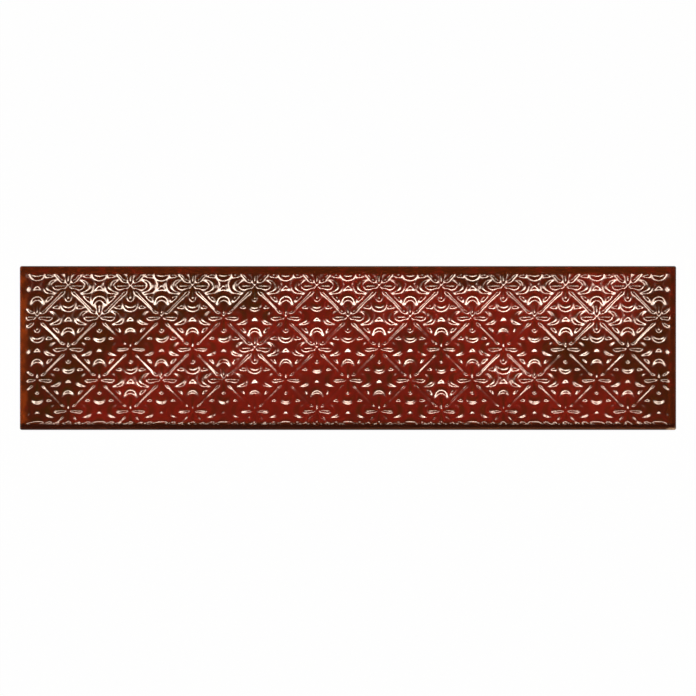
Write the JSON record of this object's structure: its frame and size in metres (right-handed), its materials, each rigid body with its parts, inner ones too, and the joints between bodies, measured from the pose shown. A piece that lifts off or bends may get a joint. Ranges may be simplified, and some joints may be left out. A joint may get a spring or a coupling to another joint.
{
  "type": "decorative wall tile",
  "caption": "Long narrow wall tile with a glossy red-brown glaze and a pressed lattice of quatrefoils, crescents and bars inside a plain sloping rim.",
  "frame": {"origin": "centre of the back, on the plane of its ribs", "axes": "+X along the length, +Y across the width, +Z out of the patterned face"},
  "size_m": [0.3, 0.075, 0.009],
  "materials": {
    "glaze": "gloss"
  },
  "bodies": {
    "root": {"tile": "glaze"}
  },
  "joints": []
}
